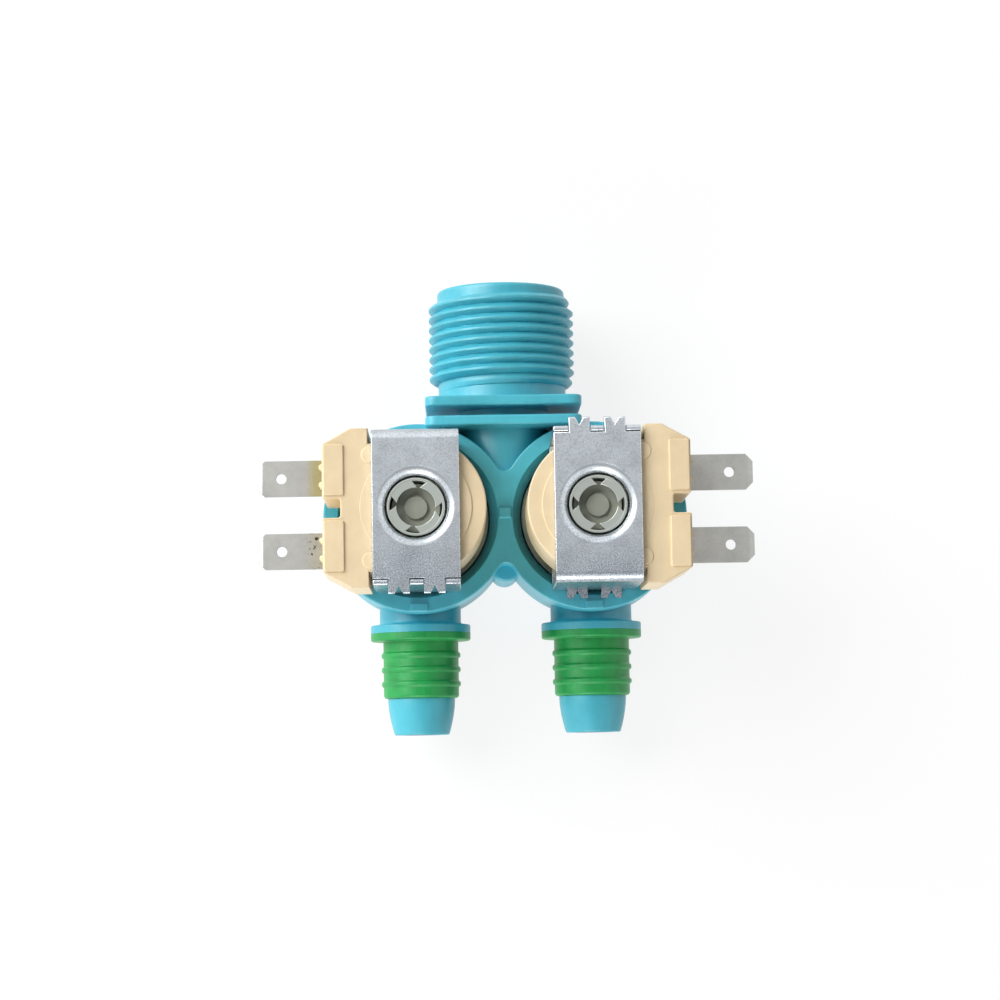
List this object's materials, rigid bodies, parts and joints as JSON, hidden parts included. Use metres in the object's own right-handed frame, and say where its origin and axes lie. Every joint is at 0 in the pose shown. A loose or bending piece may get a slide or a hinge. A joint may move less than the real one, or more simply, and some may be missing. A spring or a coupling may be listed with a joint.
{
  "type": "washing machine inlet valve",
  "caption": "Electric water inlet valve: threaded inlet with bracket plates, solenoid coils with blade terminals, and ribbed hose outlets.",
  "frame": {"origin": "under the middle of the whole part, on the plane that the chambers' undersides rest on", "axes": "+X across the two solenoids to the right blades, +Y out of the threaded inlet, +Z out of the solenoids"},
  "size_m": [0.087, 0.0808, 0.0465],
  "materials": {
    "cyan_body": "satin moulded polyamide",
    "strainer_plastic": "moulded",
    "black_rubber": "matte",
    "green_sleeve": "soft satin",
    "white_plastic": "moulded",
    "grey_plastic": "moulded",
    "plunger_steel": "turned",
    "spring_steel": "drawn wire",
    "zinc_steel": "dull zinc plate",
    "bush_steel": "zinc plate",
    "cream_resin": "satin moulded resin",
    "bobbin_plastic": "moulded",
    "copper_winding": "enamelled wire",
    "tinned_brass": "dull tin plate"
  },
  "bodies": {
    "valve": {"valve_body": "cyan_body", "inlet_strainer": "strainer_plastic", "flow_washer": "black_rubber", "outlet_sleeve_left": "green_sleeve", "diaphragm_left": "black_rubber", "armature_guide_left": "grey_plastic", "plunger_spring_left": "spring_steel", "yoke_front_left": "zinc_steel", "yoke_back_left": "zinc_steel", "bush_front_left": "bush_steel", "bush_back_left": "bush_steel", "coil_case_left": "cream_resin", "coil_bobbin_left": "bobbin_plastic", "coil_winding_left": "copper_winding", "terminal_1_left": "tinned_brass", "terminal_2_left": "tinned_brass", "outlet_sleeve_right": "green_sleeve", "diaphragm_right": "black_rubber", "armature_guide_right": "grey_plastic", "plunger_spring_right": "spring_steel", "yoke_front_right": "zinc_steel", "yoke_back_right": "zinc_steel", "bush_front_right": "bush_steel", "bush_back_right": "bush_steel", "coil_case_right": "cream_resin", "coil_bobbin_right": "bobbin_plastic", "coil_winding_right": "copper_winding", "terminal_1_right": "tinned_brass", "terminal_2_right": "tinned_brass"},
    "plunger_left": {"plunger_left": "plunger_steel", "plunger_seal_left": "black_rubber"},
    "poppet_left": {"poppet_left": "white_plastic"},
    "plunger_right": {"plunger_right": "plunger_steel", "plunger_seal_right": "black_rubber"},
    "poppet_right": {"poppet_right": "white_plastic"}
  },
  "joints": [
    {"name": "plunger_slide_left", "type": "slide", "parent": "valve", "child": "plunger_left", "axis": [0, 0, 1], "range_m": [0, 0.0025], "stiffness_N_per_m": 60, "springref_m": -0.004, "deforming": ["plunger_spring_left"]},
    {"name": "poppet_slide_left", "type": "slide", "parent": "valve", "child": "poppet_left", "axis": [0, 0, 1], "range_m": [0, 0.0019], "deforming": ["diaphragm_left"]},
    {"name": "plunger_slide_right", "type": "slide", "parent": "valve", "child": "plunger_right", "axis": [0, 0, 1], "range_m": [0, 0.0025], "stiffness_N_per_m": 60, "springref_m": -0.004, "deforming": ["plunger_spring_right"]},
    {"name": "poppet_slide_right", "type": "slide", "parent": "valve", "child": "poppet_right", "axis": [0, 0, 1], "range_m": [0, 0.0019], "deforming": ["diaphragm_right"]}
  ],
  "couplings": [
    {"joint": "poppet_slide_left", "follows": "plunger_slide_left", "ratio": 0.76},
    {"joint": "poppet_slide_right", "follows": "plunger_slide_right", "ratio": 0.76}
  ]
}
